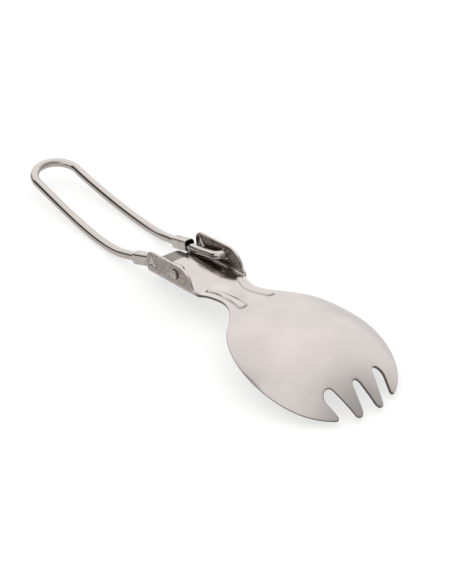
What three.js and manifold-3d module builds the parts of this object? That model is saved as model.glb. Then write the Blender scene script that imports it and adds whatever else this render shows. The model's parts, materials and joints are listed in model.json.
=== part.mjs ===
// A folding spork: a stamped sheet head, a bent wire handle that is its own hinge pin, and two lock sleeves.
// Millimetres, +Z up, +X from the handle's loop towards the tines. It lies face down, the bowl's back up.
import * as THREE from 'three';
import { mergeVertices } from 'three/addons/utils/BufferGeometryUtils.js';
import { ConvexGeometry } from 'three/addons/geometries/ConvexGeometry.js';
import Module from 'manifold-3d';

const degrees = THREE.MathUtils.degToRad;

// How it lies: each pitch lifts the front of that piece about the pivot axis
const HEAD_PITCH = degrees(7.25);
const HANDLE_PITCH = degrees(15);

// Sheet of the head
const SHEET_THICKNESS = 0.8;

// Hinge channel, measured along the head from the pivot axis
const CHANNEL_WIDTH = 18;
const FLANGE_HEIGHT = 7.1;
const FLANGE_REAR = 13.5;
const FLANGE_FRONT = 7.65;
const FLANGE_REAR_RADIUS = 2.8;
const FLANGE_NOSE_LENGTH = 5.6;
const FOOT_HEIGHT = 0.3;
const FOLD_RADIUS = 0.6;
const FLOOR_EDGE_ANGLE = degrees(18);
const LIP_LENGTH = 4.5;
const LIP_REACH = 2;
const LIP_WIDTH = 8.6;
const LIP_CORNER_RADIUS = 1;
const LIP_ANGLE = degrees(8);
const LIP_SLIT = 0.4;

// Detent bump pressed into each flange, its ledge over the wire
const BUMP_DEPTH = 0.4;
const BUMP_LENGTH = 3.2;
const BUMP_HEIGHT = 2.6;
const BUMP_SETBACK = 1.3;
const BUMP_LEDGE_HEIGHT = 3.3;
const BUMP_LEDGE_RISE = 0.2;
const BUMP_PEAK_BACK = 0.8;
const BUMP_CROWN_REAR = 1.45;
const BUMP_CROWN_FRONT = 2.55;
const BUMP_ROOT = 0.2;

// Neck and its two beads
const NECK_LENGTH = 8.85;
const NECK_WIDTH = 12.2;
const NECK_CROSS_RADIUS = 16;
const BEAD_HEIGHT = 0.6;
const BEAD_WIDTH = 2.2;
const BEAD_REAR_REACH = 6.2;
const BEAD_FRONT_REACH = 9.7;
const BEAD_WAIST = 6.2;
const BEAD_REAR_SPREAD = 1.9;
const BEAD_FRONT_SPREAD = 1.5;
const BEAD_RUN_OUT = 1.6;

// Pulls of the curves along the head's edge, from the channel's corner to the outer tines
const CORNER_PULL = 2.2;
const WAIST_REAR_PULL = 3.3;
const WAIST_FRONT_PULL = 4.3;
const SHOULDER_REAR_PULL = 5.2;
const SHOULDER_FRONT_PULL = 4.4;
const WIDEST_REAR_PULL = 7.3;
const WIDEST_FRONT_PULL = 7.1;
const OUTER_TINE_PULL_BACK = 4;
const OUTER_TINE_PULL_OUT = 8.2;

// Bowl, from the neck's waist forwards
const SHOULDER_LENGTH = 13;
const SHOULDER_WIDTH = 27.6;
const SHOULDER_ANGLE = degrees(52.5);
const SHOULDER_CROSS_RADIUS = 40;
const BOWL_WIDTH = 40.8;
const BOWL_REAR_LENGTH = 18.3;
const BOWL_FRONT_LENGTH = 22.2;
const BOWL_CREST_RISE = 0.6;
const TINE_CROSS_RADIUS = 19.5;
const NOSE_LENGTH = 28.2;
const NOSE_DROP = 15.6;
const NOSE_POWER = 2.2;

// Tines and the slots between them, set back from the inner tips
const INNER_TINE_SPACING = 6.8;
const INNER_TIP_RADIUS = 1.25;
const OUTER_TINE_SPACING = 18.8;
const OUTER_TIP_RADIUS = 0.6;
const OUTER_TINE_SETBACK = 2.1;
const MIDDLE_SLOT_RADIUS = 1.25;
const MIDDLE_SLOT_DEPTH = 6.3;
const SIDE_SLOT_RADIUS = 1.65;
const SIDE_SLOT_DEPTH = 7.85;
const SIDE_SLOT_SPACING = 16.4;
const OUTER_TINE_EDGE_ANGLE = degrees(35);
const OUTER_TINE_FLANK_ANGLE = degrees(76);
const INNER_TINE_FLANK_ANGLE = degrees(72);
const MIDDLE_SLOT_FLANK_ANGLE = degrees(78);

// Wire handle
const WIRE_DIAMETER = 2.7;
const PIN_CLEARANCE = 0.3;
const PIN_PROUD = 0.9;
const PIN_CHAMFER = 0.3;
const BAR_SIDE_GAP = 0.8;
const BAR_FLOOR_GAP = 0.3;
const SPLAY_LEAD = 4;
const SPLAY_ANGLE = degrees(4.6);
const SPLAY_BEND = 1.5;
const LEG_SPARE = 1.2;
const CURVE_LENGTH = 44.5;
const CURVE_RISE = 14.3;
const CURVE_START_PULL = 11;
const CURVE_END_PULL = 15;
const LOOP_ANGLE = degrees(24.6);
const LOOP_SPACING = 14.3;
const LOOP_LENGTH = 7.1;

// Lock sleeves on the legs
const SLEEVE_LENGTH = 7.2;
const SLEEVE_WALL = 0.3;
const SLEEVE_SIDE_GAP = 0.3;
const SLEEVE_FLOOR_GAP = 0.15;
const SLEEVE_TOP_GAP = 0.5;
const SLEEVE_CORNER_RADIUS = 0.9;
const SLEEVE_RUN_GAP = 0.3;
const SLEEVE_TRAVEL = 5;

// Facets
const CURVE_STEPS = 12;
const CORNER_STEPS = 4;
const WIRE_SIDES = 12;
const LEG_STEPS = 14;
const BEND_STEPS = 5;
const FLOOR_COLUMNS = [0, 0.2, 0.4, 0.6, 0.75, 0.9, 1];
const FOLD_COLUMNS = 3;
const BEAD_COLUMNS = 4;
const NECK_ROW_STEP = 1;
const BOWL_ROW_STEP = 1.65;
const NORMAL_STEP = 0.01;
const CUT_MARGIN = 1.5;

// Places along the head
const waistX = FLANGE_FRONT + NECK_LENGTH;
const shoulderX = waistX + SHOULDER_LENGTH;
const widestX = shoulderX + BOWL_REAR_LENGTH;
const tipX = widestX + BOWL_FRONT_LENGTH;
const crestX = tipX - NOSE_LENGTH;

// Channel section: a crowned floor, a fold and an upright flange
const outerHalf = CHANNEL_WIDTH / 2;
const innerHalf = outerHalf - SHEET_THICKNESS;
const floorHalf = innerHalf - FOLD_RADIUS * (1 + Math.sin(FLOOR_EDGE_ANGLE));
const floorCamber = Math.tan(FLOOR_EDGE_ANGLE) / (2 * floorHalf);
const floorCrown = floorCamber * floorHalf ** 2;
const lipX = LIP_LENGTH - FLANGE_REAR;

// Wire places: the bars lie in the troughs beside the crowned floor and stand off it by their gap
const wireRadius = WIRE_DIAMETER / 2;
const barY = innerHalf - BAR_SIDE_GAP - wireRadius;
const pivotHoleRadius = wireRadius + PIN_CLEARANCE;
const barSlope = Math.tan(HANDLE_PITCH - HEAD_PITCH);
const floorUnderBar = SHEET_THICKNESS + floorCrown - floorCamber * barY ** 2;
const floorTilt = Math.cos(Math.atan(2 * floorCamber * barY));
const pivotHeight = floorUnderBar + (wireRadius + BAR_FLOOR_GAP) / floorTilt - lipX * barSlope;
const splayX = FLANGE_REAR - SPLAY_LEAD;
const sleeveStart = (Math.hypot(FLANGE_REAR, pivotHeight) + SLEEVE_RUN_GAP - splayX) / Math.cos(SPLAY_ANGLE);
const legLength = sleeveStart + SLEEVE_LENGTH + SLEEVE_TRAVEL + LEG_SPARE;

const wasm = await Module();
wasm.setup();

// Closed geometry to solid, and back
function solid(geometry) {
  for (const name of Object.keys(geometry.attributes)) {
    if (name !== 'position') geometry.deleteAttribute(name);
  }
  const merged = mergeVertices(geometry);
  return new wasm.Manifold(new wasm.Mesh({
    numProp: 3,
    vertProperties: new Float32Array(merged.attributes.position.array),
    triVerts: new Uint32Array(merged.index.array),
  }));
}

function surface(body) {
  const mesh = body.getMesh();
  const geometry = new THREE.BufferGeometry();
  geometry.setAttribute('position', new THREE.BufferAttribute(mesh.vertProperties, 3));
  geometry.setIndex(new THREE.BufferAttribute(mesh.triVerts, 1));
  geometry.computeVertexNormals();
  return geometry;
}

// Smooth curve through [place, value] stations in rising order, level beyond its ends
function through(stations, place) {
  const last = stations.length - 1;
  if (place <= stations[0][0]) return stations[0][1];
  if (place >= stations[last][0]) return stations[last][1];
  const i = stations.findIndex(([x]) => x > place) - 1;
  const slope = (j) => {
    const [before, after] = [stations[Math.max(j - 1, 0)], stations[Math.min(j + 1, last)]];
    return (after[1] - before[1]) / (after[0] - before[0]);
  };
  const [[x0, v0], [x1, v1]] = [stations[i], stations[i + 1]];
  const span = x1 - x0;
  const t = (place - x0) / span;
  const rise = v0 + (v1 - v0) * t * t * (3 - 2 * t);
  return rise + span * t * (1 - t) * (slope(i) * (1 - t) - slope(i + 1) * t);
}

// Height of the sheet's top along the middle of the head
function spine(x) {
  const lift = BOWL_CREST_RISE * THREE.MathUtils.smoothstep(x, FLANGE_FRONT, crestX);
  const dive = NOSE_DROP * (Math.max(x - crestX, 0) / NOSE_LENGTH) ** NOSE_POWER;
  return SHEET_THICKNESS + floorCrown + lift - dive;
}

// Crosswise camber: the sheet falls by this times y squared
const camberStations = [
  [FLANGE_FRONT, floorCamber],
  [waistX, 1 / (2 * NECK_CROSS_RADIUS)],
  [shoulderX, 1 / (2 * SHOULDER_CROSS_RADIUS)],
  [tipX, 1 / (2 * TINE_CROSS_RADIUS)],
];
const camber = (x) => through(camberStations, x);

// Beads: two ridges that follow the waist
function beadY(x) {
  const [reach, spread] = x < waistX
    ? [BEAD_REAR_REACH, BEAD_REAR_SPREAD] : [BEAD_FRONT_REACH, BEAD_FRONT_SPREAD];
  return BEAD_WAIST / 2 + spread * ((x - waistX) / reach) ** 2;
}

function bead(x, y) {
  const ends = Math.min(x - waistX + BEAD_REAR_REACH, waistX + BEAD_FRONT_REACH - x);
  const offset = (Math.abs(y) - beadY(x)) / (BEAD_WIDTH / 2);
  if (ends <= 0 || Math.abs(offset) >= 1) return 0;
  return BEAD_HEIGHT * THREE.MathUtils.smoothstep(ends, 0, BEAD_RUN_OUT) * (1 - offset ** 2) ** 2;
}

// The sheet's top surface: x along the head, s across it along the sheet, up the flange past the fold
const foldFade = (x) => 1 - THREE.MathUtils.smoothstep(x, FLANGE_FRONT, waistX - BEAD_REAR_REACH);

function formed(x, s) {
  const side = Math.sign(s);
  const across = Math.abs(s);
  const fold = foldFade(x);
  const flat = fold > 0 ? Math.min(across, floorHalf) : across;
  let y = flat;
  let z = spine(x) - camber(x) * flat ** 2 + bead(x, flat);
  if (across < floorHalf - LIP_SLIT / 2) z -= Math.max(lipX - x, 0) * Math.tan(LIP_ANGLE);
  if (across > flat) {
    const start = -Math.atan(2 * camber(x) * floorHalf);
    const turn = fold * (Math.PI / 2 - start);
    const bent = Math.min(across - flat, FOLD_RADIUS * turn);
    const angle = start + bent / FOLD_RADIUS;
    const straight = across - flat - bent;
    y += FOLD_RADIUS * (Math.sin(angle) - Math.sin(start)) + straight * Math.cos(angle);
    z += FOLD_RADIUS * (Math.cos(start) - Math.cos(angle)) + straight * Math.sin(angle);
  }
  return new THREE.Vector3(x, side * y, z);
}

function formedNormal(x, s) {
  const along = formed(x + NORMAL_STEP, s).sub(formed(x - NORMAL_STEP, s));
  const crosswise = formed(x, s + NORMAL_STEP).sub(formed(x, s - NORMAL_STEP));
  return along.cross(crosswise).normalize();
}

// Columns of the sheet at x: they follow the fold in the channel, the beads in the neck and the bowl's width
function columns(x) {
  const arc = FOLD_RADIUS * (Math.PI / 2 + FLOOR_EDGE_ANGLE);
  const floorEdge = floorHalf - LIP_SLIT;
  const channel = FLOOR_COLUMNS.map((share) => share * floorEdge);
  for (let k = 0; k <= FOLD_COLUMNS; k += 1) channel.push(floorHalf + (arc * k) / FOLD_COLUMNS);
  channel.push(floorHalf + arc + FLANGE_HEIGHT / 2, floorHalf + arc + FLANGE_HEIGHT + CUT_MARGIN);
  const count = channel.length - 1;
  const ridge = beadY(THREE.MathUtils.clamp(x, waistX - BEAD_REAR_REACH, waistX + BEAD_FRONT_REACH));
  const [inner, outer] = [ridge - BEAD_WIDTH / 2, ridge + BEAD_WIDTH / 2];
  const neck = [0, inner / 2];
  for (let k = 0; k <= BEAD_COLUMNS; k += 1) neck.push(inner + (BEAD_WIDTH * k) / BEAD_COLUMNS);
  const neckEdge = NECK_WIDTH + CUT_MARGIN;
  const beyond = count + 1 - neck.length;
  for (let k = 1; k <= beyond; k += 1) neck.push(THREE.MathUtils.lerp(outer, neckEdge, k / beyond));
  const toNeck = THREE.MathUtils.smoothstep(x, FLANGE_FRONT, waistX - BEAD_REAR_REACH);
  const toBowl = THREE.MathUtils.smoothstep(x, waistX + BEAD_FRONT_REACH, shoulderX);
  return channel.map((place, j) => {
    const beforeBowl = THREE.MathUtils.lerp(place, neck[j], toNeck);
    return THREE.MathUtils.lerp(beforeBowl, ((BOWL_WIDTH / 2 + CUT_MARGIN) * j) / count, toBowl);
  });
}

// Rows of the sheet: few in the straight channel, close in the neck, wider in the bowl
function rows() {
  const places = [-FLANGE_REAR - LIP_REACH - CUT_MARGIN, lipX, 0, FLANGE_FRONT - CUT_MARGIN];
  const run = (from, to, step) => {
    const count = Math.ceil((to - from) / step);
    for (let k = 0; k < count; k += 1) places.push(from + ((to - from) * k) / count);
  };
  run(FLANGE_FRONT, shoulderX, NECK_ROW_STEP);
  run(shoulderX, tipX, BOWL_ROW_STEP);
  places.push(tipX, tipX + CUT_MARGIN);
  return places;
}

// The sheet as a closed body, its underside one thickness along the normal below its top
function sheetGeometry() {
  const top = [];
  const bottom = [];
  const lines = rows();
  const half = columns(0).length - 1;
  const width = 2 * half + 1;
  for (const x of lines) {
    const stations = columns(x);
    for (let j = -half; j <= half; j += 1) {
      const s = Math.sign(j) * stations[Math.abs(j)];
      const point = formed(x, s);
      top.push(point);
      bottom.push(point.clone().addScaledVector(formedNormal(x, s), -SHEET_THICKNESS));
    }
  }
  const index = [];
  const quad = (a, b, c, d) => index.push(a, b, c, a, c, d);
  const count = top.length;
  for (let i = 0; i + 1 < lines.length; i += 1) {
    for (let j = 0; j + 1 < width; j += 1) {
      const a = i * width + j;
      quad(a, a + width, a + width + 1, a + 1);
      quad(count + a, count + a + 1, count + a + width + 1, count + a + width);
    }
    const left = i * width;
    const right = left + width - 1;
    quad(left, count + left, count + left + width, left + width);
    quad(right, right + width, count + right + width, count + right);
  }
  const end = count - width;
  for (let j = 0; j + 1 < width; j += 1) {
    quad(j, j + 1, count + j + 1, count + j);
    quad(end + j, count + end + j, count + end + j + 1, end + j + 1);
  }
  const geometry = new THREE.BufferGeometry().setFromPoints(top.concat(bottom));
  geometry.setIndex(index);
  return geometry;
}

// Plan of the head: rear lip, channel, waisted neck, oval bowl and four tines, mirrored about its length
function planShape() {
  const edge = new THREE.Path();
  const clearHalf = outerHalf + CUT_MARGIN;
  const lipCorner = LIP_WIDTH / 2 - LIP_CORNER_RADIUS;
  const lipBend = LIP_CORNER_RADIUS - FLANGE_REAR - LIP_REACH;
  edge.absarc(lipBend, lipCorner, LIP_CORNER_RADIUS, Math.PI, Math.PI / 2, true);
  edge.lineTo(-FLANGE_REAR, LIP_WIDTH / 2);
  edge.lineTo(-FLANGE_REAR, clearHalf);
  edge.lineTo(FLANGE_FRONT, clearHalf);
  edge.lineTo(FLANGE_FRONT, outerHalf);
  const waistHalf = NECK_WIDTH / 2;
  edge.bezierCurveTo(
    FLANGE_FRONT + CORNER_PULL, (outerHalf + waistHalf) / 2,
    waistX - WAIST_REAR_PULL, waistHalf,
    waistX, waistHalf,
  );
  const shoulderHalf = SHOULDER_WIDTH / 2;
  const [slope, climb] = [Math.cos(SHOULDER_ANGLE), Math.sin(SHOULDER_ANGLE)];
  edge.bezierCurveTo(
    waistX + WAIST_FRONT_PULL, waistHalf,
    shoulderX - SHOULDER_REAR_PULL * slope, shoulderHalf - SHOULDER_REAR_PULL * climb,
    shoulderX, shoulderHalf,
  );
  edge.bezierCurveTo(
    shoulderX + SHOULDER_FRONT_PULL * slope, shoulderHalf + SHOULDER_FRONT_PULL * climb,
    widestX - WIDEST_REAR_PULL, BOWL_WIDTH / 2,
    widestX, BOWL_WIDTH / 2,
  );
  const outerTip = new THREE.Vector2(tipX - OUTER_TINE_SETBACK - OUTER_TIP_RADIUS, OUTER_TINE_SPACING / 2);
  edge.bezierCurveTo(
    widestX + WIDEST_FRONT_PULL, BOWL_WIDTH / 2,
    outerTip.x - OUTER_TINE_PULL_BACK, outerTip.y + OUTER_TINE_PULL_OUT,
    outerTip.x + OUTER_TIP_RADIUS * Math.cos(OUTER_TINE_EDGE_ANGLE),
    outerTip.y + OUTER_TIP_RADIUS * Math.sin(OUTER_TINE_EDGE_ANGLE),
  );
  const arc = (x, y, radius, from, to) => edge.absarc(x, y, radius, from, to, from > to);
  const [outerFlank, innerFlank] = [OUTER_TINE_FLANK_ANGLE, INNER_TINE_FLANK_ANGLE];
  arc(outerTip.x, outerTip.y, OUTER_TIP_RADIUS, OUTER_TINE_EDGE_ANGLE, -outerFlank);
  const sideEnd = tipX - SIDE_SLOT_DEPTH + SIDE_SLOT_RADIUS;
  arc(sideEnd, SIDE_SLOT_SPACING / 2, SIDE_SLOT_RADIUS, outerFlank, Math.PI + innerFlank);
  const innerTip = tipX - INNER_TIP_RADIUS;
  arc(innerTip, INNER_TINE_SPACING / 2, INNER_TIP_RADIUS, innerFlank, -MIDDLE_SLOT_FLANK_ANGLE);
  const middleEnd = tipX - MIDDLE_SLOT_DEPTH + MIDDLE_SLOT_RADIUS;
  arc(middleEnd, 0, MIDDLE_SLOT_RADIUS, Math.PI - MIDDLE_SLOT_FLANK_ANGLE, Math.PI);
  const left = edge.getPoints(CURVE_STEPS);
  const right = left.slice(0, -1).reverse().map((point) => new THREE.Vector2(point.x, -point.y));
  return new THREE.Shape(left.concat(right));
}

// Side profile: the flange's round corners and nose, and room for the neck and bowl ahead of its foot
function profileShape() {
  const below = -NOSE_DROP - BOWL_WIDTH;
  const behind = -FLANGE_REAR - LIP_REACH - 2 * CUT_MARGIN;
  const above = FLANGE_HEIGHT + BOWL_CREST_RISE + CUT_MARGIN;
  const foot = spine(FLANGE_FRONT) + FOOT_HEIGHT;
  const noseX = FLANGE_FRONT - FLANGE_NOSE_LENGTH;
  const clearX = waistX - BEAD_REAR_REACH;
  const edge = new THREE.Shape();
  edge.moveTo(behind, below);
  edge.lineTo(tipX + 2 * CUT_MARGIN, below);
  edge.lineTo(tipX + 2 * CUT_MARGIN, above);
  edge.lineTo(clearX, above);
  edge.lineTo(clearX, foot);
  edge.lineTo(FLANGE_FRONT, foot);
  edge.bezierCurveTo(
    FLANGE_FRONT, (foot + FLANGE_HEIGHT) / 2,
    (noseX + FLANGE_FRONT) / 2, FLANGE_HEIGHT,
    noseX, FLANGE_HEIGHT,
  );
  const cornerX = FLANGE_REAR_RADIUS - FLANGE_REAR;
  edge.lineTo(cornerX, FLANGE_HEIGHT);
  edge.absarc(cornerX, FLANGE_HEIGHT - FLANGE_REAR_RADIUS, FLANGE_REAR_RADIUS, Math.PI / 2, Math.PI, false);
  edge.lineTo(behind, FLANGE_HEIGHT - FLANGE_REAR_RADIUS);
  return edge;
}

// A shape drawn in x and z, extruded evenly to both sides of the middle
function acrossGeometry(shape, width) {
  const geometry = new THREE.ExtrudeGeometry(shape, {
    depth: width, bevelEnabled: false, curveSegments: CURVE_STEPS,
  });
  return geometry.rotateX(Math.PI / 2).translate(0, width / 2, 0);
}

function planGeometry() {
  const height = 2 * (NOSE_DROP + BOWL_WIDTH + FLANGE_HEIGHT);
  const geometry = new THREE.ExtrudeGeometry(planShape(), { depth: height, bevelEnabled: false });
  return geometry.translate(0, 0, -height / 2);
}

// Detent bump standing in from the plane at faceY: a ramp that ends at a ledge over the bar
function bumpGeometry(faceY, side) {
  const rear = BUMP_SETBACK - FLANGE_REAR;
  const point = (x, inward, z) => new THREE.Vector3(rear + x, side * (faceY - inward), z);
  const ledge = BUMP_LEDGE_HEIGHT;
  return new ConvexGeometry([
    point(0, -BUMP_ROOT, ledge),
    point(BUMP_LENGTH, -BUMP_ROOT, ledge),
    point(BUMP_PEAK_BACK, -BUMP_ROOT, ledge + BUMP_HEIGHT),
    point(BUMP_CROWN_REAR, BUMP_DEPTH, ledge + BUMP_LEDGE_RISE),
    point(BUMP_CROWN_FRONT, BUMP_DEPTH, ledge + BUMP_LEDGE_RISE),
  ]);
}

function slitGeometry(side) {
  const length = LIP_LENGTH + CUT_MARGIN;
  const box = new THREE.BoxGeometry(length, LIP_SLIT, 2 * FLANGE_HEIGHT);
  return box.translate(lipX - length / 2, side * (floorHalf - LIP_SLIT / 2), 0);
}

function headGeometry() {
  let head = solid(sheetGeometry()).intersect(solid(planGeometry()));
  head = head.intersect(solid(acrossGeometry(profileShape(), 2 * BOWL_WIDTH)));
  for (const side of [1, -1]) {
    head = head.subtract(solid(slitGeometry(side)));
    head = head.add(solid(bumpGeometry(innerHalf, side)));
    head = head.subtract(solid(bumpGeometry(outerHalf, side)));
  }
  const hole = new THREE.Shape().absarc(0, pivotHeight, pivotHoleRadius, 0, 2 * Math.PI, false);
  head = head.subtract(solid(acrossGeometry(hole, 2 * CHANNEL_WIDTH)));
  return surface(head).translate(0, 0, -pivotHeight);
}

// Centre line of one leg from its pin to the middle of the loop, the pivot at the origin
function legPoints(side) {
  const at = (back, y, z) => new THREE.Vector3(-back, side * y, z);
  const bend = BAR_SIDE_GAP + wireRadius;
  const points = [at(0, outerHalf + PIN_PROUD, 0), at(0, outerHalf + PIN_PROUD - PIN_CHAMFER, 0)];
  const turn = new THREE.EllipseCurve(bend, barY + bend, bend, bend, Math.PI, 1.5 * Math.PI);
  for (const { x, y } of turn.getPoints(BEND_STEPS)) points.push(at(x, y, 0));
  const slope = Math.tan(SPLAY_ANGLE);
  const splay = new THREE.QuadraticBezierCurve3(
    at(splayX - SPLAY_BEND, barY, 0),
    at(splayX, barY, 0),
    at(splayX + SPLAY_BEND, barY + SPLAY_BEND * slope, 0),
  );
  points.push(...splay.getPoints(BEND_STEPS));
  const legBack = splayX + legLength * Math.cos(SPLAY_ANGLE);
  const legY = barY + legLength * Math.sin(SPLAY_ANGLE);
  const loopBack = legBack + CURVE_LENGTH;
  const loopY = LOOP_SPACING / 2;
  const [run, climb] = [Math.cos(LOOP_ANGLE), Math.sin(LOOP_ANGLE)];
  const curve = new THREE.CubicBezierCurve3(
    at(legBack, legY, 0),
    at(legBack + CURVE_START_PULL, legY + CURVE_START_PULL * slope, 0),
    at(loopBack - CURVE_END_PULL * run, loopY, CURVE_RISE - CURVE_END_PULL * climb),
    at(loopBack, loopY, CURVE_RISE),
  );
  points.push(...curve.getPoints(LEG_STEPS));
  for (let k = 1; k <= CURVE_STEPS; k += 1) {
    const angle = (k / CURVE_STEPS) * (Math.PI / 2);
    const reach = LOOP_LENGTH * Math.sin(angle);
    points.push(at(loopBack + reach * run, loopY * Math.cos(angle), CURVE_RISE + reach * climb));
  }
  return points;
}

// Round bar along a line of points, its ends chamfered
function wireGeometry() {
  const left = legPoints(1);
  const right = legPoints(-1).reverse();
  const line = left.concat(right.slice(1));
  const last = line.length - 1;
  const positions = [];
  let normal = new THREE.Vector3(0, 0, 1);
  line.forEach((centre, i) => {
    const tangent = line[Math.min(i + 1, last)].clone().sub(line[Math.max(i - 1, 0)]).normalize();
    normal = normal.clone().addScaledVector(tangent, -normal.dot(tangent)).normalize();
    const binormal = tangent.clone().cross(normal);
    const radius = i === 0 || i === last ? wireRadius - PIN_CHAMFER : wireRadius;
    for (let k = 0; k < WIRE_SIDES; k += 1) {
      const angle = (2 * Math.PI * k) / WIRE_SIDES;
      const spoke = normal.clone().multiplyScalar(Math.cos(angle)).addScaledVector(binormal, Math.sin(angle));
      positions.push(centre.clone().addScaledVector(spoke, radius));
    }
  });
  const index = [];
  for (let i = 0; i < last; i += 1) {
    for (let k = 0; k < WIRE_SIDES; k += 1) {
      const [a, b] = [i * WIRE_SIDES + k, i * WIRE_SIDES + ((k + 1) % WIRE_SIDES)];
      index.push(a, b, b + WIRE_SIDES, a, b + WIRE_SIDES, a + WIRE_SIDES);
    }
  }
  const end = last * WIRE_SIDES;
  for (let k = 1; k + 1 < WIRE_SIDES; k += 1) {
    index.push(0, k + 1, k);
    index.push(end, end + k, end + k + 1);
  }
  const geometry = new THREE.BufferGeometry().setFromPoints(positions);
  geometry.setIndex(index);
  geometry.computeVertexNormals();
  return geometry;
}

// Rectangle with round corners about (0, middle)
function roundRectangle(path, width, height, middle, radius) {
  const [x, low, high] = [width / 2 - radius, middle - height / 2 + radius, middle + height / 2 - radius];
  path.absarc(x, low, radius, -Math.PI / 2, 0, false);
  path.absarc(x, high, radius, 0, Math.PI / 2, false);
  path.absarc(-x, high, radius, Math.PI / 2, Math.PI, false);
  path.absarc(-x, low, radius, Math.PI, 1.5 * Math.PI, false);
  path.closePath();
  return path;
}

// Lock sleeve: a folded sheet tube, its front at the origin and its length running back along -X
function sleeveGeometry() {
  const boreWidth = WIRE_DIAMETER + 2 * SLEEVE_SIDE_GAP;
  const boreHeight = WIRE_DIAMETER + SLEEVE_FLOOR_GAP + SLEEVE_TOP_GAP;
  const middle = (SLEEVE_TOP_GAP - SLEEVE_FLOOR_GAP) / 2;
  const [width, height] = [boreWidth + 2 * SLEEVE_WALL, boreHeight + 2 * SLEEVE_WALL];
  const section = roundRectangle(new THREE.Shape(), width, height, middle, SLEEVE_CORNER_RADIUS);
  const boreRadius = Math.max(SLEEVE_CORNER_RADIUS - SLEEVE_WALL, SLEEVE_WALL);
  section.holes.push(roundRectangle(new THREE.Path(), boreWidth, boreHeight, middle, boreRadius));
  const geometry = new THREE.ExtrudeGeometry(section, {
    depth: SLEEVE_LENGTH, bevelEnabled: false, curveSegments: CORNER_STEPS,
  });
  const [x, y, z] = [new THREE.Vector3(1, 0, 0), new THREE.Vector3(0, 1, 0), new THREE.Vector3(0, 0, 1)];
  geometry.applyMatrix4(new THREE.Matrix4().makeBasis(y, z, x));
  return geometry.translate(-SLEEVE_LENGTH, 0, 0);
}

function part(name, geometry, color, roughness) {
  const mesh = new THREE.Mesh(geometry, new THREE.MeshStandardMaterial({ color, roughness, metalness: 1 }));
  mesh.name = name;
  return mesh;
}

const head = new THREE.Group();
head.rotation.y = -HEAD_PITCH;
head.add(part('spork_head', headGeometry(), 0xd0c9c5, 0.34));

const handle = new THREE.Group();
handle.rotation.y = -HANDLE_PITCH;
handle.add(part('wire_handle', wireGeometry(), 0xd6d0cb, 0.16));
for (const [name, side] of [['left_lock_sleeve', 1], ['right_lock_sleeve', -1]]) {
  const leg = new THREE.Group();
  leg.position.set(-splayX, side * barY, 0);
  leg.rotation.z = -side * SPLAY_ANGLE;
  const sleeve = part(name, sleeveGeometry(), 0xbdb7b1, 0.28);
  sleeve.position.x = -sleeveStart;
  leg.add(sleeve);
  handle.add(leg);
}

// It stands on z = 0, with the middle of its length and width at the origin
const spork = new THREE.Group();
spork.add(head, handle);
spork.updateMatrixWorld(true);
const box = new THREE.Box3().setFromObject(spork, true);
spork.position.set(-(box.min.x + box.max.x) / 2, 0, -box.min.z);
spork.updateMatrixWorld(true);

export default spork;
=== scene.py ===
"""Dresses a folding spork: a stamped steel head, a bent wire handle and two lock sleeves, on a white floor.

Everything is in metres, in the packed model's own frame: +X from the handle's loop towards the tines, +Z up.
"""

import json
import math
from functools import partial

import bmesh
import bpy
import numpy as np
from bpy.props import FloatProperty, FloatVectorProperty, PointerProperty
from mathutils import Matrix, Vector
from mathutils.geometry import delaunay_2d_cdt


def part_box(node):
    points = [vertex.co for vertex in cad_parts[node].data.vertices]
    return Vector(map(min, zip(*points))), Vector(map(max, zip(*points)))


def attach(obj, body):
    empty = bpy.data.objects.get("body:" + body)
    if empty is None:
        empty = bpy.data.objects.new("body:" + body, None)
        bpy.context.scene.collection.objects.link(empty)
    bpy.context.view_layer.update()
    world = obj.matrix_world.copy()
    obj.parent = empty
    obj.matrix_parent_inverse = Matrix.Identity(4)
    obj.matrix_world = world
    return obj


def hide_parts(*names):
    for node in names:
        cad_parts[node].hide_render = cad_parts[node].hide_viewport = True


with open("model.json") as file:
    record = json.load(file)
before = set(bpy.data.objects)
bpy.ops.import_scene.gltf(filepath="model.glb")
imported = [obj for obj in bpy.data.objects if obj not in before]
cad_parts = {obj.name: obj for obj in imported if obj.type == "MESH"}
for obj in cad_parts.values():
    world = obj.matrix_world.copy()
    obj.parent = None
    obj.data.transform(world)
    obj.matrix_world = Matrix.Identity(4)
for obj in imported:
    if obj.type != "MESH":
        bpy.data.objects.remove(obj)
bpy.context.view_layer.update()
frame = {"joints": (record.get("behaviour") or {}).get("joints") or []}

bl_info = {
    "name": "Folding Spork",
    "version": (1, 0, 0),
    "blender": (4, 5, 0),
    "location": "3D View > Sidebar > Spork",
    "description": "Builds a folding spork with a wire handle, and the studio that it lies in",
    "category": "Add Mesh",
}

MM = 0.001
JOINTS = {joint["name"]: joint for joint in frame["joints"]}
PIVOT = Vector(JOINTS["handle_fold"]["pos_m"])

# Spacing of the points on the head's mesh, the turns of its edges' round in degrees, and limits
EDGE_STEP = 0.45 * MM
FOLD_END_STEP = 0.19 * MM
NOSE_STEP = 0.2 * MM
NECK_STEP = 0.22 * MM
NECK_SIDE_STEP = 0.5 * MM
BEAD_STEP = 0.2 * MM
BOWL_STEP = 0.7 * MM
BUMP_STEP = 0.16 * MM
BUMP_MARGIN = 0.1 * MM
FLANGE_MARGIN = 0.3 * MM
RIM_MARGIN = 0.14 * MM
SLOPE_STEP = 0.02 * MM
FOLD_ROWS = 9
ROUND_TURNS = (30, 60, 90)
MITRE_LIMIT = 0.6
MERGE_LIMIT_MM = 1e-6

# What delaunay_2d_cdt gives back: every triangle, also those outside the sheet
EVERY_TRIANGLE = 0

# Where most values of a noise pattern lie
NOISE_SPAN = (0.3, 0.7)

# Finishes and painted shade that the head's mesh carries as vertex values
SHEET_MARKS = ("flange", "cut_edge", "burnished", "grime")
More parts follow.
